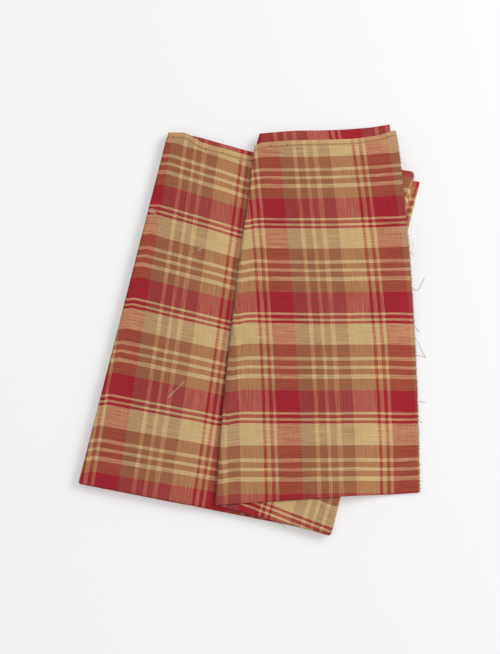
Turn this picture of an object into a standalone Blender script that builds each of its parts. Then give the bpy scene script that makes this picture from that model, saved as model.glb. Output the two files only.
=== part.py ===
# One length of plaid cotton homespun, folded for the shelf and fanned into an upside-down V.
# The cloth is folded twice across its width into a strip four plies deep, the lower fold at the foot.
# Its front half (two plies) and back half (two plies) are the two layers of every leaf here.
# The strip then zigzags: leaf 1 is the cut end tucked under, leaves 2 to 4 lean to the right as
# one stack, leaf 5 comes back over them and leaf 6 lies on top with its cut end on the right.
# Metres, +Z up, the head of the cloth towards +Y, origin at the middle of the base.

import math

import bmesh
import bpy
from mathutils import Vector

# cloth
LAYER_THICKNESS = 0.00065  # two plies lying together
LAYER_GAP = 0.0003
LEAF_PITCH = 2 * (LAYER_THICKNESS + LAYER_GAP)

# the stack of leaves 2 to 4, measured in plan from its foot's left corner
STACK_CORNER = (-0.1282, -0.1204)
STACK_LEAN = 13.35  # degrees, the left fold towards +X from +Y
STACK_SIDE = 0.2806
STACK_FOOT_SLOPE = -11.1
STACK_FOOT_WIDTH = 0.1925
STACK_HEAD_SLOPE = -11.6
STACK_HEAD_WIDTH = 0.1935
STACK_HEAD_DIP = 0.006  # how far the head edge sags in its middle
STACK_BACK_SHOWS = 0.0035  # the back half stands past the front half at the head
SPREAD_HEAD_SLOPE = -12.3  # leaves 2 and 3 lie a little wider than leaf 4
SPREAD_HEAD_WIDTH = 0.198

# leaf 1, the cut end tucked under the left of the stack
TUCK_FOOT_WIDTH = 0.082
TUCK_HEAD_WIDTH = 0.044
TUCK_RAMP = 0.020  # run over which the leaves above come down to the ground

# the left fold that leaves 5 and 6 share lies just past leaf 1's ramp; then their own edges
FAN_FOOT_PAST_RAMP = 0.002834
FAN_FOOT_DROP = 0.0011132
FAN_HEAD_PAST_RAMP = 0.0037107
MIDDLE_SIDE = 0.2775
MIDDLE_FOOT_SLOPE = -15.05
MIDDLE_FOOT_WIDTH = 0.0874
MIDDLE_HEAD_SLOPE = -8.9
MIDDLE_HEAD_WIDTH = 0.1245
MIDDLE_BACK_SHOWS = 0.001
TOP_SIDE = 0.2795
TOP_FOOT_SLOPE = 3.9
TOP_FOOT_WIDTH = 0.152
TOP_HEAD_SLOPE = 7.0
TOP_HEAD_WIDTH = 0.1108
TOP_CUT_BOW = 0.004  # how far the cut edge bulges in its middle
TOP_BACK_SHOWS = 0.0078
TOP_BACK_INSET = 0.0045  # the back half's ends stand in from the front half's at the head

# the top leaf hangs down past the edges of the leaves under it, almost to the ground
HANG_START = 0.005
HANG_RUN = 0.034
HANG_HEIGHT = 0.0010

# mesh spacing
STACK_ROWS = 6
STACK_COLUMNS = 4
TUCK_COLUMNS = 2
MIDDLE_COLUMNS = 4
TOP_CELL = 0.0125


def along(slope_degrees, length):
    angle = math.radians(slope_degrees)
    return Vector((math.cos(angle), math.sin(angle))) * length


def up_side(lean_degrees, length):
    return along(90 - lean_degrees, length)


def smoothstep(t):
    t = min(max(t, 0.0), 1.0)
    return t * t * (3 - 2 * t)


class Leaf:
    """The plan of one leaf: two straight side folds between a foot edge and a head edge."""

    def __init__(self, level, corner, lean, side, foot, head, head_dip=0.0, side_bow=0.0):
        self.level = level
        self.foot_left = Vector(corner)
        self.foot_right = self.foot_left + along(*foot)
        self.head_left = self.foot_left + up_side(lean, side)
        self.head_right = self.head_left + along(*head)
        self.side = side
        self.head_dip = head_dip
        self.side_bow = side_bow

    def point(self, across, up, inset=0.0):
        """A plan point, with across and up running from 0 to 1; up passes 1 in a longer half."""
        foot = self.foot_left.lerp(self.foot_right, across)
        ends = inset * (1 - 2 * across) * up
        dip = self.head_dip * 4 * across * (1 - across)
        head = self.head_left.lerp(self.head_right, across) + Vector((ends, -dip))
        bow = self.side_bow * across * 4 * up * (1 - min(up, 1.0))
        return foot + (head - foot) * up + Vector((bow, 0))

    def width(self, up):
        return (self.point(1, up) - self.point(0, up)).length


def rows(count, leaf, longer):
    steps = [row / count for row in range(count + 1)]
    if longer:
        steps.append(1 + longer / leaf.side)
    return steps


def even_columns(count):
    return lambda leaf, up: [(column / count, 0.0) for column in range(count + 1)]


def tuck_width(up):
    return TUCK_FOOT_WIDTH + (TUCK_HEAD_WIDTH - TUCK_FOOT_WIDTH) * min(up, 1.0)


def stack_columns(leaf, up):
    """Columns of a leaf that lies over leaf 1: level on it, down a ramp, then level on the ground."""
    tuck, whole = tuck_width(up), leaf.width(up)
    found = [(tuck * column / TUCK_COLUMNS, LEAF_PITCH) for column in range(TUCK_COLUMNS + 1)]
    found.append((tuck + TUCK_RAMP / 2, LEAF_PITCH / 2))
    rest = tuck + TUCK_RAMP
    for column in range(STACK_COLUMNS + 1):
        found.append((rest + (whole - rest) * column / STACK_COLUMNS, 0.0))
    return [(distance / whole, lift) for distance, lift in found]


def past_line(point, start, end):
    """How far a plan point lies to the right of the line from start to end."""
    line = (end - start).normalized()
    offset = point - start
    return offset.x * line.y - offset.y * line.x


def past_edges(point, leaf):
    """How far a plan point lies past a leaf's right and head edges."""
    right = max(past_line(point, leaf.foot_right, leaf.head_right), 0.0)
    head = max(past_line(point, leaf.head_right, leaf.head_left), 0.0)
    return math.hypot(right, head)


def hanging_height(point, below):
    """The top leaf's height at a plan point. It lies on each leaf below until it is past its edges."""
    full_drop = (below[-1].level + 1) * LEAF_PITCH - HANG_HEIGHT
    heights = []
    for leaf in below:
        drop = (leaf.level + 1) * LEAF_PITCH - HANG_HEIGHT
        run = HANG_RUN * drop / full_drop
        fallen = smoothstep((past_edges(point, leaf) - HANG_START) / run)
        heights.append(HANG_HEIGHT + drop * (1 - fallen))
    return max(heights)


def layer_points(leaf, upper, row_steps, columns, inset=0.0, below=()):
    """Rows of points on a layer's lower face. A leaf with others below it hangs over their edges."""
    layer_rise = LAYER_THICKNESS + LAYER_GAP if upper else 0.0
    grid = []
    for up in row_steps:
        line = []
        for across, lift in columns(leaf, up):
            plan = leaf.point(across, up, inset)
            height = hanging_height(plan, below) if below else leaf.level * LEAF_PITCH
            line.append(Vector((plan.x, plan.y, height + lift + layer_rise)))
        grid.append(line)
    return grid


def layer_mesh(name, grid, origin):
    """A closed sheet, LAYER_THICKNESS thick, with every cell of its grid cut along the same diagonal."""
    shape = bmesh.new()
    verts = [[shape.verts.new(point - origin) for point in line] for line in grid]
    for below, above in zip(verts, verts[1:]):
        for a, b, c, d in zip(below, below[1:], above[1:], above):
            shape.faces.new((a, b, c))
            shape.faces.new((a, c, d))
    raised = bmesh.ops.extrude_face_region(shape, geom=shape.faces[:], use_keep_orig=True)
    top = [item for item in raised["geom"] if isinstance(item, bmesh.types.BMVert)]
    bmesh.ops.translate(shape, vec=(0, 0, LAYER_THICKNESS), verts=top)
    bmesh.ops.recalc_face_normals(shape, faces=shape.faces[:])
    mesh = bpy.data.meshes.new(name)
    shape.to_mesh(mesh)
    shape.free()
    return mesh


def cloth_material(name, colour):
    material = bpy.data.materials.new(name)
    material.use_nodes = True
    shader = material.node_tree.nodes["Principled BSDF"]
    shader.inputs["Base Color"].default_value = (*colour, 1)
    shader.inputs["Roughness"].default_value = 0.9
    shader.inputs["Metallic"].default_value = 0
    return material


def hinge_empty(name, position):
    empty = bpy.data.objects.new(name, None)
    empty.location = position
    bpy.context.collection.objects.link(empty)
    return empty


def add_layer(name, grid, colour, hinge=None):
    origin = hinge.location.copy() if hinge else Vector((0, 0, 0))
    layer = bpy.data.objects.new(name, layer_mesh(name, grid, origin))
    layer.data.materials.append(cloth_material(name + "_cotton", colour))
    layer.parent = hinge
    bpy.context.collection.objects.link(layer)
    return layer


def plan_leaves():
    stack_foot = (STACK_FOOT_SLOPE, STACK_FOOT_WIDTH)
    spread_head = (SPREAD_HEAD_SLOPE, SPREAD_HEAD_WIDTH)
    stack = (STACK_CORNER, STACK_LEAN, STACK_SIDE, stack_foot)
    tuck = Leaf(0, STACK_CORNER, STACK_LEAN, STACK_SIDE, (STACK_FOOT_SLOPE, TUCK_FOOT_WIDTH),
                (STACK_HEAD_SLOPE, TUCK_HEAD_WIDTH))
    fan_foot = tuck.foot_right + Vector((TUCK_RAMP + FAN_FOOT_PAST_RAMP, -FAN_FOOT_DROP))
    fan_head = tuck.head_right + Vector((TUCK_RAMP + FAN_HEAD_PAST_RAMP, 0.0))
    fan_line = fan_head - fan_foot
    fan_lean = math.degrees(math.atan2(fan_line.x, fan_line.y))
    middle = Leaf(3, fan_foot, fan_lean, MIDDLE_SIDE, (MIDDLE_FOOT_SLOPE, MIDDLE_FOOT_WIDTH),
                  (MIDDLE_HEAD_SLOPE, MIDDLE_HEAD_WIDTH))
    top = Leaf(4, fan_foot, fan_lean, TOP_SIDE, (TOP_FOOT_SLOPE, TOP_FOOT_WIDTH),
               (TOP_HEAD_SLOPE, TOP_HEAD_WIDTH), side_bow=TOP_CUT_BOW)
    return {
        1: tuck,
        2: Leaf(0, *stack, spread_head, STACK_HEAD_DIP),
        3: Leaf(1, *stack, spread_head, STACK_HEAD_DIP),
        4: Leaf(2, *stack, (STACK_HEAD_SLOPE, STACK_HEAD_WIDTH), STACK_HEAD_DIP),
        5: middle,
        6: top,
    }


def layer_grids(leaves):
    """Both layers of every leaf. Leaves 1, 3 and 5 lie face down, so their back half is the upper layer."""
    top_columns = round(TOP_FOOT_WIDTH / TOP_CELL)
    top_rows = round(TOP_SIDE / TOP_CELL)
    below_top = [leaves[number] for number in (2, 3, 4, 5)]
    plans = {
        1: (STACK_ROWS, even_columns(TUCK_COLUMNS), 0.0, 0.0, ()),
        2: (STACK_ROWS, stack_columns, STACK_BACK_SHOWS, 0.0, ()),
        3: (STACK_ROWS, stack_columns, STACK_BACK_SHOWS, 0.0, ()),
        4: (STACK_ROWS, stack_columns, STACK_BACK_SHOWS, 0.0, ()),
        5: (STACK_ROWS, even_columns(MIDDLE_COLUMNS), MIDDLE_BACK_SHOWS, 0.0, ()),
        6: (top_rows, even_columns(top_columns), TOP_BACK_SHOWS, TOP_BACK_INSET, below_top),
    }
    grids = {}
    for number, (count, columns, back_shows, inset, below) in plans.items():
        leaf = leaves[number]
        face_down = number % 2 == 1
        for upper in (False, True):
            back = upper == face_down
            steps = rows(count, leaf, back_shows if back else 0.0)
            name = f"leaf_{number}_{'upper' if upper else 'lower'}"
            grids[name] = layer_points(leaf, upper, steps, columns, inset if back else 0.0, below)
    return grids


def centre_shift(grids):
    """The move that puts the middle of the whole plan at the origin."""
    points = [point for grid in grids.values() for line in grid for point in line]
    xs = [point.x for point in points]
    ys = [point.y for point in points]
    return Vector((-(min(xs) + max(xs)) / 2, -(min(ys) + max(ys)) / 2, 0))


def build():
    for item in list(bpy.data.objects):
        bpy.data.objects.remove(item, do_unlink=True)
    leaves = plan_leaves()
    grids = layer_grids(leaves)
    shift = centre_shift(grids)

    # hinge lines run up the left folds, in the middle of the gap under the leaf that turns
    stack_height = Vector((0, 0, leaves[4].level * LEAF_PITCH + LEAF_PITCH - LAYER_GAP / 2))
    top_height = Vector((0, 0, leaves[6].level * LEAF_PITCH - LAYER_GAP / 2))
    stack_foot = leaves[4].foot_left.to_3d() + shift
    top_foot = leaves[6].foot_left.to_3d() + shift
    upper_hinge = hinge_empty("upper_leaves_hinge", stack_foot + stack_height)
    top_hinge = hinge_empty("top_leaf_hinge", top_foot + top_height)
    hinges = {4: upper_hinge, 5: upper_hinge, 6: top_hinge}

    crimson, tan, brown = (0.33, 0.02, 0.03), (0.58, 0.40, 0.19), (0.30, 0.09, 0.05)
    colours = {1: brown, 2: tan, 3: brown, 4: crimson, 5: tan, 6: crimson}
    for name, grid in grids.items():
        number = int(name.split("_")[1])
        moved = [[point + shift for point in line] for line in grid]
        add_layer(name, moved, colours[number], hinges.get(number))


build()
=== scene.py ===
import math

import bpy
import numpy as np
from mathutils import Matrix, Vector


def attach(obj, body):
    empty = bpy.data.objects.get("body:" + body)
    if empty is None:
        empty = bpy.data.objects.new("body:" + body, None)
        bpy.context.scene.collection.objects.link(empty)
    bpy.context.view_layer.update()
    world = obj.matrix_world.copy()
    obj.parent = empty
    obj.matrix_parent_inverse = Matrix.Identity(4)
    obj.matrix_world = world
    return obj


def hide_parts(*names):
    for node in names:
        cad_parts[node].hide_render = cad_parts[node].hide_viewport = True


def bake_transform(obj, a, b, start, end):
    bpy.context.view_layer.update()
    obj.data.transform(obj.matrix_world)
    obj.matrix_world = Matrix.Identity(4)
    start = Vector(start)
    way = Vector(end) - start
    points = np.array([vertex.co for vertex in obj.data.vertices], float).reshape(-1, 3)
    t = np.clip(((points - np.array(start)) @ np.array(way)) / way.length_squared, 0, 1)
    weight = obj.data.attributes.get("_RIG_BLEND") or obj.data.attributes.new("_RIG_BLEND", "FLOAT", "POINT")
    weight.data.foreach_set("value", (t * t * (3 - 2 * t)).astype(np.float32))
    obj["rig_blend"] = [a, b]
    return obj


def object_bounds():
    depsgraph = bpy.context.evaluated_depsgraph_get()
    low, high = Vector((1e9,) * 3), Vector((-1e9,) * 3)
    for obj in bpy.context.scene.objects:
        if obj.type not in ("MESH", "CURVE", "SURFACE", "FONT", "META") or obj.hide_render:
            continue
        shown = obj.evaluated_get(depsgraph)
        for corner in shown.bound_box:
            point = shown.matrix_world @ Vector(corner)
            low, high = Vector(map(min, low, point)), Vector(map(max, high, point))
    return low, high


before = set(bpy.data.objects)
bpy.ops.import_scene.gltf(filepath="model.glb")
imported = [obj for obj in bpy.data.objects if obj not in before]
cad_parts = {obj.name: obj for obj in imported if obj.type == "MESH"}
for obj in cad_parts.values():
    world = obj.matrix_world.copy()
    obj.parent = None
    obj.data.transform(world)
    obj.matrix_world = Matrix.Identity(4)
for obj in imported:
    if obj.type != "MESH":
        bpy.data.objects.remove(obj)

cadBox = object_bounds()

# One cut of plaid cotton homespun, folded twice across its width into a strip four plies deep,
# then zigzagged into six leaves. Leaves 1 to 3 are hidden under leaf 4, leaf 5 comes back over
# them and leaf 6 lies on top with the raw cut end on its right.
#
# The strip is meshed as it is woven: a section runs through all four plies, from one selvage to
# the other, and the section is carried along the zigzag. clothMap holds where each point lies in
# the flat cloth, in metres: x across the cloth's width, y along its length.

cloth = {
    "yarn": 0.00030,  # thickness of one ply
    "plyPitch": 0.00040,
    "cell": 0.0050,  # mesh spacing on the flat
    "footPuff": 0.0002,  # how much rounder than a half circle the foot fold is
    "nosePuff": 0.0004,  # the same for the fold at the head
    "innerFootStep": 0.0005,  # the inner two plies turn this far inside the outer two
    "selvageStep": 0.0047,  # the first selvage stops short of the second by this much
    "selvageCurl": 0.0007,  # the first selvage lifts this much, on leaves that face up
    "curlRun": 0.0035,
    "curlFree": 0.012,  # the lift grows from half this far to 1.5 times this far from the left fold
    "rimOffset": 0.0036,  # the second selvage shows more of its rim than the first by this much
    "sideTurnSteps": 8,
    "leafGap": 0.0003,
    "width": 1.134,  # selvage to selvage, when flat
    "stripLength": 0.28,  # foot to head, for the mesh spacing and the selvage's curl
}
stripDepth = 4 * cloth["plyPitch"]
leafPitch = stripDepth + cloth["leafGap"]

leafShapes = {
    1: {"level": 0, "faceUp": False},
    2: {"level": 0, "faceUp": True, "overTuck": True, "headDip": 0.006, "cornerTuck": 0.0062},
    3: {"level": 1, "faceUp": False, "overTuck": True, "headDip": 0.006, "cornerTuck": 0.0062},
    4: {"level": 2, "faceUp": True, "overTuck": True, "headDip": 0.006, "cornerLift": 0.0036,
        "cornerTuck": 0.0062},
    5: {"level": 3, "faceUp": False},
    6: {"level": 4, "faceUp": True, "droops": True, "cutBow": 0.004, "backInset": (2.2, -4.5),
        "headLine": ((0, 0), (0.05, 2.2), (0.21, 1.3), (0.38, 0), (0.54, -1.6), (0.71, -2.8), (0.88, -1.9),
                     (0.98, 1.0)),
        "backLine": ((0, 2.1), (0.1, 1.9), (0.28, 1.6), (0.47, -0.4), (0.65, -1.8), (0.84, -2.6),
                     (1, -2.2))},
}
cornerLiftRun = 0.028
tuckRamp = 0.020
droop = {"start": 0.005, "run": 0.034, "depth": 0.0066}

# the fold that leaves 5 and 6 share is fuller in its middle than at its ends
topFoldBulge = {"most": 0.0030, "footShare": 0.08, "headShare": 0.87}

# slow swells of the whole pile: height, wavelength in x and in y, start
swells = [
    (0.00018, 0.083, 0.210, 0.7),
    (0.00014, -0.120, 0.064, 2.1),
    (0.00009, 0.037, 0.048, 4.0),
    (0.00006, -0.026, 0.031, 1.3),
]

# where the threads lie on the two leaves that show, in millimetres from the selvage (across) and
# along the cloth, at the leaf's foot, middle and head, each from its left side to its right side
threads = {
    4: {
        "across": ((287.1, 290.5, 295.2), (149.8, 146.1, 143.4), (9.6, -3.4, -15.0)),
        "along": ((-11.7, 88.1, 195.0), (0.7, 102.7, 208.0), (14.5, 119.4, 222.6)),
        "rollBend": (3.0, 8.0),
    },
    6: {
        "across": ((285.2, 280.6, 278.0), (151.0, 143.9, 138.8), (7.2, 0.2, -2.2)),
        "along": ((304.8, 381.9, 459.5), (323.4, 394.0, 461.6), (349.8, 409.2, 466.2)),
        "rollBend": (2.3, 14.0),
    },
}
centreFold = 583.8  # the first fold lies in the middle of a crimson band
secondSelvage = 1140.5
turnLength = 3.0  # cloth taken up by a side fold
hiddenAcross = (286.0, 150.0, 6.0)
topBackSkew = 15.5  # the back half's threads lean this much from the front half's at the head of leaf 6


def extreme(points, x, y):
    return max(points, key=lambda p: p[0] * x + p[1] * y)


def leafCorners(node):
    points = [(v.co.x, v.co.y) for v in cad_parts[node].data.vertices]
    names = {"footLeft": (-1, -1), "footRight": (1, -1), "headRight": (1, 1), "headLeft": (-1, 1)}
    return {name: np.array(extreme(points, *way)) for name, way in names.items()}


def makeLeaf(number):
    shape = dict(leafShapes[number], number=number)
    front, back = ("upper", "lower") if shape["faceUp"] else ("lower", "upper")
    shape["front"] = leafCorners(f"leaf_{number}_{front}")
    shape["back"] = leafCorners(f"leaf_{number}_{back}")
    return shape


def between(start, end, share):
    return start + (end - start) * np.asarray(share)[..., None]


def smooth(t):
    t = np.clip(t, 0, 1)
    return t * t * (3 - 2 * t)


def footPoint(leaf, across):
    return between(leaf["front"]["footLeft"], leaf["front"]["footRight"], across)


def headChord(leaf, across, back=False):
    corners = leaf["back" if back else "front"]
    return between(corners["headLeft"], corners["headRight"], across)


def headRise(leaf, across, back=False):
    # how far the head edge stands past its chord
    span = np.linalg.norm(leaf["front"]["headRight"] - leaf["front"]["headLeft"])
    lift = np.sin(np.pi * np.clip(across * span / cornerLiftRun, 0, 1)) ** 2
    rise = leaf.get("cornerLift", 0) * lift * (0.4 if back else 1)
    rise = rise - leaf.get("headDip", 0) * 4 * across * (1 - across)
    if back:
        rise = rise - leaf.get("cornerTuck", 0) * (1 - smooth(across * span / cornerLiftRun))
    line = np.array(leaf.get("backLine" if back else "headLine", ((0, 0), (1, 0))))
    return rise + np.interp(across, line[:, 0], line[:, 1]) / 1000


def chordLength(leaf, across, back=False):
    return np.linalg.norm(headChord(leaf, across, back) - footPoint(leaf, across), axis=-1)


def planAt(leaf, across, eta):
    # eta is the distance up the leaf from its foot
    foot, head = footPoint(leaf, across), headChord(leaf, across)
    up = eta / chordLength(leaf, across)
    point = foot + (head - foot) * up[..., None]
    bow = leaf.get("cutBow", 0) * across * 4 * np.clip(up, 0, 1) * (1 - np.clip(up, 0, 1))
    return point + np.stack([bow, np.zeros_like(bow)], -1)


def pastLine(point, start, end):
    line = (end - start) / np.linalg.norm(end - start)
    offset = point - start
    return offset[..., 0] * line[1] - offset[..., 1] * line[0]


def tuckEdge(y):
    # where leaf 1's cut end lies under the pile at a given y
    low, high = leaves[1]["front"]["footRight"], leaves[1]["front"]["headRight"]
    share = np.clip((y - low[1]) / (high[1] - low[1]), 0, 1)
    return low[0] + (high[0] - low[0]) * share


def restHeight(leaf, plan):
    height = np.full(plan.shape[:-1], leaf["level"] * leafPitch)
    if leaf.get("overTuck"):
        past = plan[..., 0] - tuckEdge(plan[..., 1])
        height = height + leafPitch * (1 - smooth(past / tuckRamp))
    if leaf.get("droops"):
        under = leaves[5]["front"]
        right = np.maximum(pastLine(plan, under["footRight"], under["headRight"]), 0)
        head = np.maximum(pastLine(plan, under["headRight"], under["headLeft"]), 0)
        reach = (np.hypot(right, head) - droop["start"]) / droop["run"]
        height = height - droop["depth"] * smooth(reach)
    return height


def swell(points):
    # the pile's own unevenness, nothing at the ground and most at the top
    total = np.zeros(points.shape[:-1])
    for height, alongX, alongY, start in swells:
        total += height * np.sin(2 * np.pi * (points[..., 0] / alongX + points[..., 1] / alongY) + start)
    points[..., 2] += total * points[..., 2] / pileHeight
    return points


def threadGrid(values):
    # a smooth function through the nine values given
    grid = np.array(values, float)

    def at(across, up):
        def weights(t):
            return np.stack([2 * (t - 0.5) * (t - 1), 4 * t * (1 - t), 2 * t * (t - 0.5)], -1)
        return np.einsum("...i,ij,...j", weights(up), grid, weights(across))
    return at


def columnOf(grid, side):
    return [row[side] for row in grid]


def gridFrom(left, right):
    return [(a, (a + b) / 2, b) for a, b in zip(left, right)]


def widthsOf(leaf):
    ups = np.array([0.0, 0.5, 1.0])
    ends = [footPoint(leaf, np.array(a)) * (1 - ups[:, None]) + headChord(leaf, np.array(a)) * ups[:, None]
            for a in (0.0, 1.0)]
    return np.linalg.norm(ends[1] - ends[0], axis=-1) * 1000


def threadHiddenLeaves():
    # the hidden leaves carry on from the folds that they share with the leaves that show
    for number, neighbour, shared in ((3, 4, 0), (2, 3, 2), (1, 2, 0)):
        known = threads[neighbour]
        along = [v - turnLength for v in columnOf(known["along"], shared)]
        far = [v - w for v, w in zip(along, widthsOf(leaves[number]))]
        acrossShared = columnOf(known["across"], shared)
        pair = (lambda near, away: gridFrom(near, away) if shared == 0 else gridFrom(away, near))
        threads[number] = {"across": pair(acrossShared, hiddenAcross), "along": pair(along, far)}
    threads[3]["rollBend"] = threads[4]["rollBend"]
    threads[5] = {
        "across": gridFrom(columnOf(threads[6]["across"], 0), columnOf(threads[4]["across"], 2)),
        "along": gridFrom([v - turnLength for v in columnOf(threads[6]["along"], 0)],
                          [v + turnLength for v in columnOf(threads[4]["along"], 2)]),
        "rollBend": threads[6]["rollBend"],
    }


def backSkew(number, across):
    return topBackSkew * {6: 1.0, 5: 1 - across}.get(number, 0.0)


def rowShares():
    # shares of a ply's length from foot to head, closer together at both ends
    count = round(cloth["stripLength"] / cloth["cell"])
    ends = [0.004, 0.010]
    middle = [i / count for i in range(1, count)]
    return np.array([0.0] + ends + middle + [1 - e for e in reversed(ends)] + [1.0])


def sectionStations():
    # one section of the strip: ply, share of its length, turn angle
    shares = rowShares()
    outer = [math.pi * i / 6 for i in range(1, 6)]
    inner = [math.pi * i / 4 for i in range(1, 4)]
    stations = [("ply1", s, 0) for s in reversed(shares)]
    stations += [("footOuter", 0, t) for t in outer]
    stations += [("ply4", s, 0) for s in shares]
    stations += [("nose", 1, t) for t in inner]
    stations += [("ply3", s, 0) for s in reversed(shares)]
    stations += [("footInner", 0, t) for t in inner]
    stations += [("ply2", s, 0) for s in shares]
    return stations


def leafSection(leaf, across):
    # every station of the section at these shares across the leaf
    pitch = cloth["plyPitch"]
    chord = chordLength(leaf, across)
    front = chord + headRise(leaf, across)
    back = chordLength(leaf, across, back=True) + headRise(leaf, across, back=True)
    depthOf = {"ply4": 0.5 * pitch, "ply3": 1.5 * pitch, "ply2": 2.5 * pitch, "ply1": 3.5 * pitch}
    outerRadius, innerRadius = 1.5 * pitch, 0.5 * pitch
    footInset = outerRadius + cloth["footPuff"]
    noseInset = innerRadius + cloth["nosePuff"]
    innerFoot = footInset + cloth["innerFootStep"]
    lie = threads[leaf["number"]]
    acrossAt, alongAt = threadGrid(lie["across"]), threadGrid(lie["along"])
    bend, bendRun = lie.get("rollBend", (0, 1))
    sideDistance = across * widthsOf(leaf)[1]
    roll = bend * np.clip(1 - sideDistance / bendRun, 0, 1) ** 2
    footThread = acrossAt(across, np.zeros_like(across))
    places, maps, rims = [], [], []
    for kind, share, turn in stations:
        edge = np.full_like(across, 1.0)
        if kind == "ply1":
            length = front - cloth["selvageStep"] - footInset
            eta = footInset + share * length
            depth = depthOf[kind]
            thread = acrossAt(across, eta / chord)
            edge = (1 - share) * length + cloth["rimOffset"]
            fromHead = (1 - share) * cloth["stripLength"]
            curl = cloth["selvageCurl"] * math.exp(-(fromHead / cloth["curlRun"]) ** 2)
            if leaf["faceUp"]:
                depth = depth + curl * smooth(sideDistance / 1000 / cloth["curlFree"] - 0.5)
        elif kind == "footOuter":
            eta = footInset - footInset * math.sin(turn) + 0 * across
            depth = 2 * pitch + outerRadius * math.cos(turn)
            thread = footThread + 1000 * outerRadius * turn
        elif kind == "ply4":
            eta = footInset + share * (back - noseInset - footInset)
            depth = depthOf[kind]
            start = footThread + 1000 * outerRadius * math.pi
            thread = start + share * (centreFold - start)
        elif kind == "nose":
            eta = back - noseInset + noseInset * math.sin(turn)
            depth = pitch - innerRadius * math.cos(turn)
            thread = centreFold + 1000 * innerRadius * (turn - math.pi / 2)
        elif kind == "ply3":
            eta = innerFoot + share * (back - noseInset - innerFoot)
            depth = depthOf[kind]
            thread = centreFold + (1 - share) * (centreFold - footThread)
        elif kind == "footInner":
            eta = innerFoot - innerRadius * math.sin(turn) + 0 * across
            depth = 2 * pitch - innerRadius * math.cos(turn)
            thread = 2 * centreFold - footThread + 0.2 * turn
        else:
            length = front - innerFoot
            eta = innerFoot + share * length
            depth = depthOf[kind]
            start = 2 * centreFold - footThread
            thread = start + share * (secondSelvage - start)
            edge = (1 - share) * length
        plan = planAt(leaf, across, eta)
        rise = depth if leaf["faceUp"] else stripDepth - depth
        height = restHeight(leaf, plan) + rise
        up = np.clip(eta / chord, 0, 1.04)
        if kind in ("ply3", "ply4", "nose"):
            headShare = smooth((up - 0.93) / 0.07)
            leftInset, rightInset = leaf.get("backInset", (0, 0))
            plan[..., 0] += (leftInset + (rightInset - leftInset) * across) / 1000 * headShare
        thread = thread - roll * (1 if kind == "ply1" else 0.3) + 0 * across
        places.append(np.concatenate([plan, height[..., None]], -1))
        length = alongAt(across, up)
        if kind in ("ply3", "ply4", "nose"):
            length = length + backSkew(leaf["number"], across) * up
        maps.append(np.stack([thread, length], -1) / 1000)
        rims.append(edge)
    return np.array(places), np.array(maps), np.array(rims)


def sideInset(leaf):
    # the outermost ply turns inside the leaf's own outline
    return (leafPitch + stripDepth - cloth["plyPitch"]) / 2 / (widthsOf(leaf)[1] / 1000)


def leafColumns(leaf, foldLeft=True, foldRight=True):
    inset = sideInset(leaf)
    low, high = (inset if foldLeft else 0.0), (1 - inset if foldRight else 1.0)
    count = max(4, round(widthsOf(leaf)[1] / 1000 * (high - low) / cloth["cell"]))
    return np.linspace(low, high, count + 1)


def outward(leaf, side):
    name = "Left" if side == "left" else "Right"
    line = leaf["front"]["head" + name] - leaf["front"]["foot" + name]
    line = line / np.linalg.norm(line)
    return np.array([-line[1], line[0]]) if side == "left" else np.array([line[1], -line[0]])


def bulgeAt(share):
    start, end = -topFoldBulge["footShare"], topFoldBulge["headShare"]
    return topFoldBulge["most"] * np.sin(np.pi * np.clip((share - start) / (end - start), 0, 1))


def sideTurn(before, after, away, bulge=None):
    # carries every station round a side fold, from the end of one leaf to the start of the next
    (placesA, mapsA, rimsA), (placesB, mapsB, rimsB) = before, after
    radius = np.abs(placesB[:, 2] - placesA[:, 2]) / 2
    places, maps, rims = [], [], []
    for step in range(1, cloth["sideTurnSteps"]):
        angle = math.pi * step / cloth["sideTurnSteps"]
        share = (1 - math.cos(angle)) / 2
        place = placesA + (placesB - placesA) * share
        reach = radius + (0 if bulge is None else bulge)
        place[:, :2] += away[None, :] * (reach * math.sin(angle))[:, None]
        places.append(place)
        maps.append(mapsA + (mapsB - mapsA) * step / cloth["sideTurnSteps"])
        rims.append(rimsA)
    return np.stack(places, 1), np.stack(maps, 1), np.stack(rims, 1)


def columnAt(section, index):
    return tuple(part[:, index] for part in section)


def joined(*sections):
    return tuple(np.concatenate([section[i] for section in sections], 1) for i in range(3))


def sheetMesh(name, section):
    # one thickness of cloth as a grid, then given its yarn's thickness
    places, maps, rims = section
    rows, columns = places.shape[:2]
    index = np.arange(rows * columns).reshape(rows, columns)
    quads = np.stack([index[:-1, :-1], index[:-1, 1:], index[1:, 1:], index[1:, :-1]], -1).reshape(-1, 4)
    mesh = bpy.data.meshes.new(name)
    mesh.from_pydata(swell(places.copy()).reshape(-1, 3).tolist(), [], quads.tolist())
    corners = np.array([loop.vertex_index for loop in mesh.loops])
    mapLayer = mesh.uv_layers.new(name="clothMap")
    mapLayer.data.foreach_set("uv", maps.reshape(-1, 2)[corners].astype(np.float32).ravel())
    rimLayer = mesh.uv_layers.new(name="selvageMap")
    rimMap = np.stack([rims.ravel(), maps.reshape(-1, 2)[:, 1]], -1)
    rimLayer.data.foreach_set("uv", rimMap[corners].astype(np.float32).ravel())
    piece = bpy.data.objects.new(name, mesh)
    bpy.context.collection.objects.link(piece)
    thicken = piece.modifiers.new("yarn thickness", "SOLIDIFY")
    thicken.thickness = cloth["yarn"]
    thicken.offset = 0
    return finished(piece)


def finished(piece):
    # modifiers applied, smooth faces, sharp rims
    evaluated = piece.evaluated_get(bpy.context.evaluated_depsgraph_get())
    mesh = bpy.data.meshes.new_from_object(evaluated)
    piece.modifiers.clear()
    piece.data = mesh
    mesh.shade_smooth()
    mesh.set_sharp_from_angle(angle=math.radians(55))
    return piece


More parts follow.
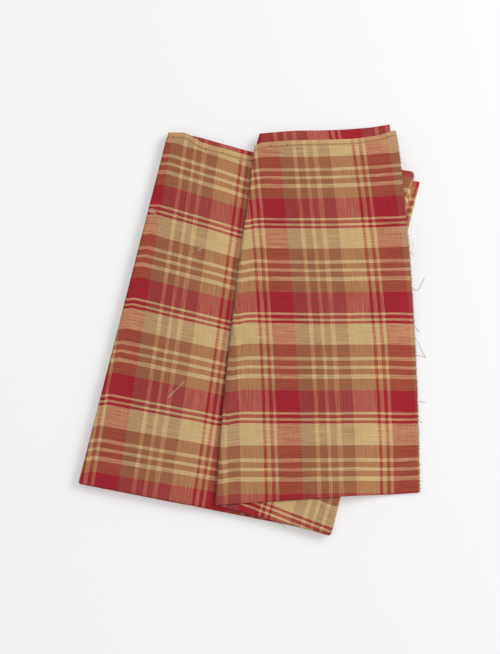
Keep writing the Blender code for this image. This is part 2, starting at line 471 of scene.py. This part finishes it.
print("folding the cloth")
leaves = {}
for leafNumber in leafShapes:
    leaves[leafNumber] = makeLeaf(leafNumber)
pileHeight = cadBox[1].z
threadHiddenLeaves()
stations = sectionStations()

sections = {
    1: leafSection(leaves[1], leafColumns(leaves[1], foldRight=False)),
    2: leafSection(leaves[2], leafColumns(leaves[2])),
    3: leafSection(leaves[3], leafColumns(leaves[3])),
    4: leafSection(leaves[4], leafColumns(leaves[4])),
    5: leafSection(leaves[5], leafColumns(leaves[5])),
    6: leafSection(leaves[6], leafColumns(leaves[6], foldRight=False)),
}
for oddLeaf in (1, 3, 5):  # these run from right to left
    sections[oddLeaf] = tuple(part[:, ::-1] for part in sections[oddLeaf])


def turnBetween(number, side, bulge=None):
    before, after = sections[number], sections[number + 1]
    return sideTurn(columnAt(before, -1), columnAt(after, 0), outward(leaves[number], side), bulge)


upShare = sections[6][0][:, 0, 1]
upShare = (upShare - upShare.min()) / (upShare.max() - upShare.min())
plyFullness = np.array([{"ply1": 1, "ply2": 0.85, "ply3": 0.7, "ply4": 0.55}.get(kind, 0.75)
                        for kind, share, turn in stations])
turns = {
    1: turnBetween(1, "left"),
    2: turnBetween(2, "right"),
    3: turnBetween(3, "left"),
    4: turnBetween(4, "right"),
    5: turnBetween(5, "left", bulgeAt(upShare) * plyFullness),
}
lowerCloth = sheetMesh("cloth_lower_leaves", joined(sections[1], turns[1], sections[2], turns[2],
                                                    sections[3]))
upperCloth = sheetMesh("cloth_upper_leaves", joined(sections[4], turns[4], sections[5]))
topCloth = sheetMesh("cloth_top_leaf", sections[6])

# a fold that a joint turns is a piece of its own for each ply, because each ply bends over its own height
kinds = [kind for kind, share, turn in stations]
stationsUp = 20  # a station well up each ply, where its height is read
plyRanges = {  # each ply's stations, with its share of the arcs at the foot and the head
    1: (0, kinds.index("ply4") - 3),
    4: (kinds.index("ply4") - 3, kinds.index("ply3") - 2),
    3: (kinds.index("ply3") - 2, kinds.index("ply2") - 2),
    2: (kinds.index("ply2") - 2, len(stations) - 1),
}


def foldPieces(label, number):
    pieces = []
    around = joined(tuple(p[:, -1:] for p in sections[number]), turns[number],
                    tuple(p[:, :1] for p in sections[number + 1]))
    for ply, (first, last) in plyRanges.items():
        part = tuple(p[first:last + 1] for p in around)
        piece = sheetMesh(f"{label}_fold_ply_{ply}", part)
        middle = kinds.index(f"ply{ply}") + stationsUp
        column = swell(around[0][middle].copy())
        piece["foldHeights"] = [float(column[0, 2]), float(column[-1, 2])]
        pieces.append(piece)
    return pieces


lowerFold = foldPieces("upper_leaves", 3)
topFold = foldPieces("top_leaf", 5)


# materials


def linear(hexColour):
    # sRGB hex to the linear values that a shader works in
    values = [int(hexColour[i:i + 2], 16) / 255 for i in (1, 3, 5)]
    return tuple(v / 12.92 if v <= 0.04045 else ((v + 0.055) / 1.055) ** 2.4 for v in values) + (1.0,)


def addNode(tree, kind, links=(), values=None, **settings):
    made = tree.nodes.new(kind)
    for name, value in settings.items():
        setattr(made, name, value)
    for socket, value in (values or {}).items():
        made.inputs[socket].default_value = value
    for socket, source in links:
        tree.links.new(source, made.inputs[socket])
    return made


yarns = {
    "crimson": "#9D242D",
    "tan": "#C9AA79",
    "brown": "#9B5C3D",
    "oliveBrown": "#8D5D4A",
    "greyBrown": "#9A6B53",
}
plaid = {
    "acrossRepeat": 0.0755,
    "across": [(68, "tan"), (40, "brown"), (12, "tan"), (17, "brown"), (10, "tan"), (18, "brown"), (13,
                                                                                                    "tan"),
               (38, "brown"), (68, "crimson"), (8, "tan"), (11, "crimson"), (8, "tan"), (9, "crimson")],
    "alongRepeat": 0.088,
    "along": [(23.8, "crimson"), (14.1, "oliveBrown"), (4.3, "tan"), (7.7, "oliveBrown"), (3.5, "tan"),
              (6.3, "greyBrown"), (4.8, "tan"), (12.5, "greyBrown"), (24.0, "tan"), (3.3, "crimson"),
              (3.8, "tan"), (3.8, "crimson"), (3.3, "tan")],
    "acrossShare": 0.63,  # the yarns that run the length of the cloth cover more of its face
    "yarnSpacing": 0.00055,  # about 46 yarns to the inch
    "wander": 0.00035,  # how far a yarn strays from straight
    "wanderLength": 0.016,
    "slubLength": 0.022,
    "slubTone": 0.26,
    "slubCover": 0.48,  # a thick yarn hides more of the yarns that it crosses
    "rimWidth": 0.0044,
    "rimShadowLineAt": 0.0038,  # painted shadow: a dark line along the first selvage's edge, in place of the shade under its step over the second
}


def stripeRamp(tree, position, stripes):
    ramp = addNode(tree, "ShaderNodeValToRGB", [("Fac", position)]).color_ramp
    ramp.interpolation = "CONSTANT"
    whole, reached = sum(width for width, yarn in stripes), 0
    for number, (width, yarn) in enumerate(stripes):
        stop = ramp.elements[0] if number == 0 else ramp.elements.new(reached / whole)
        stop.position = reached / whole
        stop.color = linear(yarns[yarn])
        reached += width
    ramp.elements.remove(ramp.elements[-1])
    return tree.nodes[-1].outputs["Color"]


def homespun(name):
    # yarn-dyed cotton homespun, plain weave in slubby yarns: matt and soft, and each crossing mixes
    # two yarns' colours
    material = bpy.data.materials.new(name)
    material.use_nodes = True
    tree = material.node_tree
    shader = tree.nodes["Principled BSDF"]
    shader.inputs["Roughness"].default_value = 0.92
    shader.inputs["Specular IOR Level"].default_value = 0.12
    shader.inputs["Sheen Weight"].default_value = 0.06
    shader.inputs["Sheen Roughness"].default_value = 0.6
    shader.inputs["Sheen Tint"].default_value = linear("#E8CDB5")

    flat = addNode(tree, "ShaderNodeUVMap", uv_map="clothMap").outputs["UV"]
    stray = addNode(tree, "ShaderNodeTexNoise", [("Vector", flat)],
                    {"Scale": 1 / plaid["wanderLength"], "Detail": 3.0, "Roughness": 0.6})
    centred = addNode(tree, "ShaderNodeVectorMath", [(0, stray.outputs["Color"])], {1: (0.5, 0.5, 0.5)},
                      operation="SUBTRACT")
    scaled = addNode(tree, "ShaderNodeVectorMath", [(0, centred.outputs["Vector"])],
                     {"Scale": 2 * plaid["wander"]}, operation="SCALE")
    woven = addNode(tree, "ShaderNodeVectorMath", [(0, flat), (1, scaled.outputs["Vector"])], operation="ADD")
    split = addNode(tree, "ShaderNodeSeparateXYZ", [("Vector", woven.outputs["Vector"])])

    shades = []
    for axis, repeat, stripes, stretch in (
            ("X", plaid["acrossRepeat"], plaid["across"], (1 / plaid["yarnSpacing"],
                                                           1 / plaid["slubLength"], 1)),
            ("Y", plaid["alongRepeat"], plaid["along"], (1 / plaid["slubLength"], 1 / plaid["yarnSpacing"],
                                                         1))):
        count = addNode(tree, "ShaderNodeMath", [(0, split.outputs[axis])], {1: 1 / repeat},
                        operation="MULTIPLY")
        part = addNode(tree, "ShaderNodeMath", [(0, count.outputs[0])], operation="FRACT")
        colour = stripeRamp(tree, part.outputs[0], stripes)
        stretched = addNode(tree, "ShaderNodeMapping", [("Vector", woven.outputs["Vector"])],
                            {"Scale": stretch})
        slub = addNode(tree, "ShaderNodeTexNoise", [("Vector", stretched.outputs["Vector"])],
                       {"Scale": 1.0, "Detail": 2.0, "Roughness": 0.7}, noise_dimensions="2D")
        tone = addNode(tree, "ShaderNodeMapRange", [("Value", slub.outputs[0])],
                       {"From Min": 0.25, "From Max": 0.75, "To Min": 1 - plaid["slubTone"],
                        "To Max": 1 + plaid["slubTone"]})
        toned = addNode(tree, "ShaderNodeVectorMath", [(0, colour), ("Scale", tone.outputs[0])],
                        operation="SCALE")
        seen = addNode(tree, "ShaderNodeGamma", [("Color", toned.outputs["Vector"])], {"Gamma": 1 / 2.2})
        shades.append((seen.outputs["Color"], slub.outputs[0]))

    # which yarn is on top at each crossing
    waves = []
    for axis in ("X", "Y"):
        turn = addNode(tree, "ShaderNodeMath", [(0, split.outputs[axis])],
                       {1: math.pi / plaid["yarnSpacing"]},
                       operation="MULTIPLY")
        waves.append(addNode(tree, "ShaderNodeMath", [(0, turn.outputs[0])], operation="SINE").outputs[0])
    over = addNode(tree, "ShaderNodeMath", [(0, waves[0]), (1, waves[1])], operation="MULTIPLY")
    thicker = addNode(tree, "ShaderNodeMath", [(0, shades[0][1]), (1, shades[1][1])], operation="SUBTRACT")
    share = addNode(tree, "ShaderNodeMath", [(0, thicker.outputs[0])],
                    {1: plaid["slubCover"], 2: plaid["acrossShare"]}, operation="MULTIPLY_ADD")
    cover = addNode(tree, "ShaderNodeMath", [(0, over.outputs[0]), (2, share.outputs[0])], {1: 0.28},
                    operation="MULTIPLY_ADD")
    mixed = addNode(tree, "ShaderNodeMix", [("Factor", cover.outputs[0]), (6, shades[1][0]),
                                            (7, shades[0][0])],
                    data_type="RGBA")
    plain = addNode(tree, "ShaderNodeGamma", [("Color", mixed.outputs[2])], {"Gamma": 2.2})

    # the selvage: a firm rim with the loom's temple marks along it
    rim = addNode(tree, "ShaderNodeUVMap", uv_map="selvageMap").outputs["UV"]
    rimSplit = addNode(tree, "ShaderNodeSeparateXYZ", [("Vector", rim)])
    inRim = addNode(tree, "ShaderNodeMapRange", [("Value", rimSplit.outputs["X"])],
                    {"From Min": plaid["rimWidth"], "From Max": 1.15 * plaid["rimWidth"], "To Min": 0.45,
                     "To Max": 0.0})
    rimmed = addNode(tree, "ShaderNodeMix",
                     [("Factor", inRim.outputs[0]), (6, plain.outputs["Color"])], {7: linear("#CBA272")},
                     data_type="RGBA")
    # painted shadow: a thin dark brown line on both plies at the first selvage's edge, where its step over
    # the second would shade it
    bound = addNode(tree, "ShaderNodeMath", [(0, rimSplit.outputs["X"])], {1: plaid["rimShadowLineAt"], 2: 0.00028},
                    operation="COMPARE")
    lined = addNode(tree, "ShaderNodeMath", [(0, bound.outputs[0])], {1: 0.55}, operation="MULTIPLY")
    edged = addNode(tree, "ShaderNodeMix", [("Factor", lined.outputs[0]), (6, rimmed.outputs[2])],
                    {7: linear("#7E4A30")}, data_type="RGBA")
    marks = addNode(tree, "ShaderNodeTexVoronoi", [("Vector", rim)], {"Scale": 210.0, "Randomness": 0.8},
                    voronoi_dimensions="2D")
    dot = addNode(tree, "ShaderNodeMapRange", [("Value", marks.outputs["Distance"])],
                  {"From Min": 0.10, "From Max": 0.16, "To Min": 0.75, "To Max": 0.0})
    nearRim = addNode(tree, "ShaderNodeMapRange", [("Value", rimSplit.outputs["X"])],
                      {"From Min": 0.0058, "From Max": 0.0062, "To Min": 1.0, "To Max": 0.0})
    chance = addNode(tree, "ShaderNodeSeparateXYZ", [("Vector", marks.outputs["Color"])])
    kept = addNode(tree, "ShaderNodeMath", [(0, chance.outputs["X"])], {1: 0.68}, operation="GREATER_THAN")
    onRim = addNode(tree, "ShaderNodeMath", [(0, kept.outputs[0]), (1, nearRim.outputs[0])],
                    operation="MULTIPLY")
    marked = addNode(tree, "ShaderNodeMath", [(0, dot.outputs[0]), (1, onRim.outputs[0])],
                     operation="MULTIPLY")
    final = addNode(tree, "ShaderNodeMix", [("Factor", marked.outputs[0]), (6, edged.outputs[2])],
                    {7: linear("#6B3A2A")}, data_type="RGBA")
    tree.links.new(final.outputs[2], shader.inputs["Base Color"])

    # yarns stand up where they cross over, and slubs stand higher
    slubs = addNode(tree, "ShaderNodeMath", [(0, shades[0][1]), (1, shades[1][1])], operation="ADD")
    height = addNode(tree, "ShaderNodeMath", [(0, slubs.outputs[0]), (2, over.outputs[0])], {1: 1.2},
                     operation="MULTIPLY_ADD")
    bump = addNode(tree, "ShaderNodeBump", [("Height", height.outputs[0])], {"Strength": 0.35,
                                                                             "Distance": 0.00012})
    tree.links.new(bump.outputs["Normal"], shader.inputs["Normal"])
    return material


print("dyeing and weaving")
frontCotton = homespun("yarn_dyed_cotton_homespun")
for piece in [lowerCloth, upperCloth, topCloth] + lowerFold + topFold:
    piece.data.materials.clear()
    piece.data.materials.append(frontCotton)


# frayed cut ends

fray = {
    "spacing": 0.0011,
    "length": 0.0007,
    "thickness": 0.00018,
    "splay": 0.45,  # how far a yarn turns away from straight, in radians
    "seed": 11,
}


def frayTree():
    # yarns standing out of a cut edge: the edge comes in as a line with the way out and the cloth place on it
    tree = bpy.data.node_groups.new("frayed edge", "GeometryNodeTree")
    face = tree.interface
    face.new_socket("Geometry", in_out="INPUT", socket_type="NodeSocketGeometry")
    for name, kind in (("Spacing", "Float"), ("Length", "Float"), ("Thickness", "Float"), ("Splay", "Float"),
                       ("Seed", "Int"), ("Material", "Material")):
        face.new_socket(name, in_out="INPUT", socket_type="NodeSocket" + kind)
    face.new_socket("Geometry", in_out="OUTPUT", socket_type="NodeSocketGeometry")
    given = addNode(tree, "NodeGroupInput").outputs
    line = addNode(tree, "GeometryNodeMeshToCurve", [("Mesh", given["Geometry"])])
    spaced = addNode(tree, "GeometryNodeResampleCurve",
                     [("Curve", line.outputs["Curve"]), ("Length", given["Spacing"])], mode="LENGTH")
    way = addNode(tree, "GeometryNodeInputNamedAttribute", values={"Name": "wayOut"},
                  data_type="FLOAT_VECTOR")
    low = addNode(tree, "ShaderNodeMath", [(0, given["Splay"])], {1: -1.0}, operation="MULTIPLY")
    corner = [addNode(tree, "ShaderNodeCombineXYZ", [(0, s), (1, s), (2, s)]).outputs[0]
              for s in (low.outputs[0], given["Splay"])]
    splay = addNode(tree, "FunctionNodeRandomValue", [("Min", corner[0]), ("Max", corner[1]),
                                                      ("Seed", given["Seed"])],
                    data_type="FLOAT_VECTOR")
    leant = addNode(tree, "ShaderNodeVectorMath", [(0, way.outputs["Attribute"]),
                                                   (1, splay.outputs["Value"])],
                    operation="ADD")
    turned = addNode(tree, "FunctionNodeAlignRotationToVector", [("Vector", leant.outputs["Vector"])],
                     axis="Z")
    size = addNode(tree, "FunctionNodeRandomValue", [("Seed", given["Seed"])], {2: 0.25, 3: 1.6},
                   data_type="FLOAT")

    stem = addNode(tree, "GeometryNodeCurvePrimitiveLine", values={"Start": (0, 0, -0.5), "End": (0, 0, 1)})
    steps = addNode(tree, "GeometryNodeResampleCurve", [("Curve", stem.outputs["Curve"])], {"Count": 5})
    where = addNode(tree, "GeometryNodeInputPosition")
    axes = addNode(tree, "ShaderNodeSeparateXYZ", [("Vector", where.outputs[0])])
    curl = addNode(tree, "ShaderNodeMath", [(0, axes.outputs["Z"]), (1, axes.outputs["Z"])],
                   operation="MULTIPLY")
    eased = addNode(tree, "ShaderNodeMath", [(0, curl.outputs[0])], {1: 0.22}, operation="MULTIPLY")
    sideways = addNode(tree, "ShaderNodeCombineXYZ", [("X", eased.outputs[0])])
    curled = addNode(tree, "GeometryNodeSetPosition",
                     [("Geometry", steps.outputs["Curve"]), ("Offset", sideways.outputs[0])])
    grown = addNode(tree, "ShaderNodeCombineXYZ", [(i, given["Length"]) for i in range(3)])
    scaled = addNode(tree, "GeometryNodeTransform", [("Geometry", curled.outputs["Geometry"]),
                                                     ("Scale", grown.outputs[0])])
    radius = addNode(tree, "ShaderNodeMath", [(0, given["Thickness"])], {1: 0.5}, operation="MULTIPLY")
    ring = addNode(tree, "GeometryNodeCurvePrimitiveCircle", [("Radius", radius.outputs[0])],
                   {"Resolution": 4})
    yarn = addNode(tree, "GeometryNodeCurveToMesh",
                   [("Curve", scaled.outputs["Geometry"]), ("Profile Curve", ring.outputs["Curve"])],
                   {"Fill Caps": True})
    copies = addNode(tree, "GeometryNodeInstanceOnPoints",
                     [("Points", spaced.outputs["Curve"]), ("Instance", yarn.outputs["Mesh"]),
                      ("Rotation", turned.outputs["Rotation"]), ("Scale", size.outputs[1])])
    real = addNode(tree, "GeometryNodeRealizeInstances", [("Geometry", copies.outputs["Instances"])])
    lies = addNode(tree, "GeometryNodeInputPosition")
    liesAt = addNode(tree, "ShaderNodeSeparateXYZ", [("Vector", lies.outputs[0])])
    above = addNode(tree, "ShaderNodeMath", [(0, liesAt.outputs["Z"])], {1: 0.00008}, operation="MAXIMUM")
    onTop = addNode(tree, "ShaderNodeCombineXYZ", [("X", liesAt.outputs["X"]), ("Y", liesAt.outputs["Y"]),
                                                   ("Z", above.outputs[0])])
    rested = addNode(tree, "GeometryNodeSetPosition",
                     [("Geometry", real.outputs["Geometry"]), ("Position", onTop.outputs[0])])
    place = addNode(tree, "GeometryNodeInputNamedAttribute", values={"Name": "clothPlace"},
                    data_type="FLOAT_VECTOR")
    stored = addNode(tree, "GeometryNodeStoreNamedAttribute",
                     [("Geometry", rested.outputs["Geometry"]), ("Value", place.outputs["Attribute"])],
                     {"Name": "clothMap"}, data_type="FLOAT2", domain="CORNER")
    away = addNode(tree, "GeometryNodeStoreNamedAttribute", [("Geometry", stored.outputs["Geometry"])],
                   {"Name": "selvageMap", "Value": (1.0, 0.0, 0.0)}, data_type="FLOAT2", domain="CORNER")
    dressed = addNode(tree, "GeometryNodeSetMaterial",
                      [("Geometry", away.outputs["Geometry"]), ("Material", given["Material"])])
    addNode(tree, "NodeGroupOutput", [("Geometry", dressed.outputs["Geometry"])])
    return tree


def frayEdge(name, tree, section, index, inside, seed):
    # index is the cut end's column, inside the one before it
    places, maps, rims = section
    edge, inner = swell(places[:, index].copy()), swell(places[:, inside].copy())
    wayOut = edge - inner
    wayOut /= np.linalg.norm(wayOut, axis=1)[:, None]
    mesh = bpy.data.meshes.new(name)
    mesh.from_pydata(edge.tolist(), [(i, i + 1) for i in range(len(edge) - 1)], [])
    mesh.attributes.new("wayOut", "FLOAT_VECTOR", "POINT").data.foreach_set("vector", wayOut.ravel())
    place = np.concatenate([maps[:, index], np.zeros((len(edge), 1))], 1)
    mesh.attributes.new("clothPlace", "FLOAT_VECTOR", "POINT").data.foreach_set("vector", place.ravel())
    piece = bpy.data.objects.new(name, mesh)
    bpy.context.collection.objects.link(piece)
    nodes = piece.modifiers.new("fray", "NODES")
    nodes.node_group = tree
    sockets = {item.name: item.identifier for item in tree.interface.items_tree if item.in_out == "INPUT"}
    chosen = {"Spacing": fray["spacing"], "Length": fray["length"], "Thickness": fray["thickness"],
              "Splay": fray["splay"], "Seed": seed, "Material": frontCotton}
    for label, value in chosen.items():
        nodes[sockets[label]] = value
    made = bpy.data.meshes.new_from_object(piece.evaluated_get(bpy.context.evaluated_depsgraph_get()))
    piece.modifiers.clear()
    piece.data = made
    for spare in [a.name for a in made.attributes if a.name in ("wayOut", "clothPlace")]:
        made.attributes.remove(made.attributes[spare])
    return piece


print("fraying the cut ends")
edgeTree = frayTree()
topFray = frayEdge("frayed_end_top_leaf", edgeTree, sections[6], -1, -3, fray["seed"])
tuckFray = frayEdge("frayed_end_tucked_leaf", edgeTree, sections[1], 0, 2, fray["seed"] + 1)


# loose ends of yarn, as points in millimetres: at the raw edge they hang down to the ground, and those
# given without a height lie on leaf 4

strayYarns = {
    "warm_brown_stray_yarn": {"colour": "#9A6A58", "thickness": 0.00026, "runs": {
        "edge_loop": [(123.6, -10.5, 2.6), (125.6, -12.5, 2.0), (127.7, -16.1, 1.0), (130, -21.4, 0.4),
                      (131.7, -24.7, 0.3),
                      (128.4, -23.7, 0.4), (124.4, -23.3, 1.8)],
        "edge_curl": [(121.5, 30, 2.8), (124, 28, 1.8), (127, 27.7, 0.5), (129.7, 32.4, 0.3), (132.2, 37.9,
                                                                                               0.3)],
        "edge_tail_a": [(122, 1, 2.8), (125, -2, 1.2), (127.6, -5.1, 0.3)],
        "edge_tail_b": [(123.5, -58.5, 2.6), (127.8, -58.7, 0.8), (131.5, -59.6, 0.3)],
        "edge_tail_c": [(124, -73, 2.6), (126.5, -74, 1.4), (128.8, -74.8, 0.4)]}},
    "pale_red_stray_yarn": {"colour": "#C9877A", "thickness": 0.00022, "runs": {
        "tuft_a": [(113.5, 128.6, 4.6), (117.5, 127.1, 3.6), (119.3, 126.0, 2.8)],
        "tuft_b": [(118.5, 66.5, 3.4), (122.9, 64.5, 1.5), (124.7, 62.9, 0.4)],
        "tuft_c": [(119, 59, 3.4), (122.8, 57, 1.2), (124.6, 54.2, 0.4)],
        "tuft_d": [(118.5, 63, 3.4), (121.8, 60.5, 2.0), (123.2, 58.8, 1.2)]}},
    "dark_stray_yarn": {"colour": "#5A4A40", "thickness": 0.00020, "runs": {
        "foot_tail": [(17.5, -149.0, 1.6), (22.5, -152.4, 0.5), (25.7, -154.8, 0.2)]}},
    "white_stray_yarn": {"colour": "#F4ECE6", "thickness": 0.00024, "runs": {
        "lying": [(-63.6, -57.8), (-60.5, -54.6), (-57.6, -51.3), (-54.2, -48.3), (-51.2, -44.9)],
        "left_curl": [(-74.5, 87.2), (-76.9, 87.0), (-78.3, 88.2), (-77.4, 90.0),
                      (-74.8, 89.4), (-76.0, 87.4), (-73.2, 86.2)],
        "fleck_a": [(-41.7, 57.8), (-39.6, 58.5), (-37.4, 59.2)],
        "fleck_b": [(-41.0, 56.9), (-39.8, 57.3), (-38.6, 57.3)]}},
    "green_lint": {"colour": "#3E4A34", "thickness": 0.00040, "runs": {
        "speck": [(-56.9, -89.7), (-56.0, -89.4), (-55.0, -89.3)]}},
}


def onLeaf(number, x, y):
    # the height of a leaf's top where nothing lies on it
    leaf = leaves[number]
    place = np.array([[x, y, float(restHeight(leaf, np.array([x, y]))) + stripDepth + 0.0001]])
    return swell(place)[0]


def smoothRun(points, steps=6):
    # a smooth curve through the points
    ends = np.vstack([2 * points[0] - points[1], points, 2 * points[-1] - points[-2]])
    run = []
    for a, b, c, d in zip(ends, ends[1:], ends[2:], ends[3:]):
        for t in np.arange(steps) / steps:
            run.append(0.5 * (2 * b + (c - a) * t + (2 * a - 5 * b + 4 * c - d) * t ** 2 +
                              (3 * b - a - 3 * c + d) * t ** 3))
    return np.array(run + [points[-1]])


def yarnTube(run, thickness):
    # rings of five points, tapering at both ends
    verts, faces = [], []
    count = len(run)
    for number, point in enumerate(run):
        ahead = Vector(run[min(number + 1, count - 1)] - run[max(number - 1, 0)]).normalized()
        side = ahead.cross(Vector((0, 0, 1))).normalized()
        up = side.cross(ahead)
        radius = thickness / 2 * (0.45 if number in (0, count - 1) else 1)
        for corner in range(5):
            turn = 2 * math.pi * corner / 5
            verts.append(Vector(point) + side * math.cos(turn) * radius + up * math.sin(turn) * radius)
    for number in range(count - 1):
        for corner in range(5):
            following = (corner + 1) % 5
            low = number * 5
            faces.append((low + corner, low + following, low + 5 + following, low + 5 + corner))
    return verts, faces + [tuple(reversed(range(5))), tuple(range(5 * count - 5, 5 * count))]


def strayMaterial(name, colour):
    # a fuzzy single yarn, uneven along its length
    material = bpy.data.materials.new(name)
    material.use_nodes = True
    tree = material.node_tree
    shader = tree.nodes["Principled BSDF"]
    shader.inputs["Roughness"].default_value = 0.95
    shader.inputs["Specular IOR Level"].default_value = 0.1
    place = addNode(tree, "ShaderNodeTexCoord").outputs["Object"]
    uneven = addNode(tree, "ShaderNodeTexNoise", [("Vector", place)], {"Scale": 900.0, "Detail": 2.0})
    tone = addNode(tree, "ShaderNodeMapRange", [("Value", uneven.outputs[0])], {"To Min": 0.8, "To Max": 1.2})
    toned = addNode(tree, "ShaderNodeVectorMath", [("Scale", tone.outputs[0])], {0: linear(colour)[:3]},
                    operation="SCALE")
    tree.links.new(toned.outputs["Vector"], shader.inputs["Base Color"])
    return material


def strayPiece(name, look):
    verts, faces = [], []
    for run in look["runs"].values():
        points = [np.array(p) / 1000 if len(p) == 3 else onLeaf(4, p[0] / 1000, p[1] / 1000) for p in run]
        newVerts, newFaces = yarnTube(smoothRun(np.array(points)), look["thickness"])
        faces += [tuple(i + len(verts) for i in face) for face in newFaces]
        verts += newVerts
    mesh = bpy.data.meshes.new(name)
    mesh.from_pydata(verts, [], faces)
    mesh.shade_smooth()
    mesh.materials.append(strayMaterial(name, look["colour"]))
    piece = bpy.data.objects.new(name, mesh)
    bpy.context.collection.objects.link(piece)
    return piece


print("loose ends of yarn")
strays = {name: strayPiece(name, look) for name, look in strayYarns.items()}


# the surface below, the light and the camera

studio = {
    "cameraRise": 78,  # degrees above the surface, from the foot of the cloth
    "cameraDistance": 1.66,
    "lens": 120,
    "aim": (-0.0014, -0.0011, 0.0),
    "floor": "#CFCFCF",
    "floorGlow": 0.33,  # a light table, which keeps the shadows round the cloth faint
    "sky": 0.60,
    "key": 29.0,
    "keyPlace": (1.6, 0.6, 1.4),
    "keySize": (1.4, 1.0),
}


def makeStage():
    bpy.ops.mesh.primitive_plane_add(size=6, location=(0, 0, 0))
    floor = bpy.context.object
    floor.name = "pale_floor"
    paint = bpy.data.materials.new("matt_white_board")
    paint.use_nodes = True
    shader = paint.node_tree.nodes["Principled BSDF"]
    shader.inputs["Base Color"].default_value = linear(studio["floor"])
    shader.inputs["Emission Color"].default_value = (1, 1, 1, 1)
    shader.inputs["Emission Strength"].default_value = studio["floorGlow"]
    shader.inputs["Roughness"].default_value = 0.95
    shader.inputs["Specular IOR Level"].default_value = 0.1
    floor.data.materials.append(paint)


def makeLights():
    world = bpy.data.worlds.new("soft_room")
    bpy.context.scene.world = world
    world.use_nodes = True
    world.node_tree.nodes["Background"].inputs["Color"].default_value = (1, 1, 1, 1)
    world.node_tree.nodes["Background"].inputs["Strength"].default_value = studio["sky"]
    lamp = bpy.data.lights.new("soft_box", "AREA")
    lamp.shape = "RECTANGLE"
    lamp.size, lamp.size_y = studio["keySize"]
    lamp.energy = studio["key"]
    light = bpy.data.objects.new("soft_box", lamp)
    light.location = studio["keyPlace"]
    light.rotation_euler = (-light.location).to_track_quat("-Z", "Y").to_euler()
    bpy.context.collection.objects.link(light)


def makeCamera():
    rise = math.radians(studio["cameraRise"])
    camera = bpy.data.objects.new("camera", bpy.data.cameras.new("camera"))
    camera.data.lens = studio["lens"]
    camera.location = Vector(studio["aim"]) + studio["cameraDistance"] * Vector((0, -math.cos(rise),
                                                                                 math.sin(rise)))
    camera.rotation_euler = (math.pi / 2 - rise, 0, 0)
    bpy.context.collection.objects.link(camera)
    bpy.context.scene.camera = camera


makeStage()
makeLights()
makeCamera()
bpy.context.scene.view_settings.view_transform = "Standard"

# bodies, replaced solids and the flat cloth

print("riding on the bodies")
nodesOf = {"lower_leaves": (1, 2, 3), "upper_leaves": (4, 5), "top_leaf": (6,)}
panels = {"lower_leaves": lowerCloth, "upper_leaves": upperCloth, "top_leaf": topCloth}
onTopLeaf = [strays["warm_brown_stray_yarn"], strays["pale_red_stray_yarn"], strays["dark_stray_yarn"]]
onPanel = [strays["white_stray_yarn"], strays["green_lint"]]
trims = {"lower_leaves": [tuckFray], "upper_leaves": onPanel, "top_leaf": [topFray] + onTopLeaf}
for body, panel in panels.items():
    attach(panel, body)
    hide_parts(*[f"leaf_{n}_{layer}" for n in nodesOf[body] for layer in ("lower", "upper")])
    for trim in trims[body]:
        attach(trim, body)

for bodies, foldPiecesHere in ((("lower_leaves", "upper_leaves"), lowerFold),
                               (("upper_leaves", "top_leaf"), topFold)):
    for piece in foldPiecesHere:
        low, high = piece["foldHeights"]
        del piece["foldHeights"]
        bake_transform(piece, *bodies, start=(0, 0, low), end=(0, 0, high))
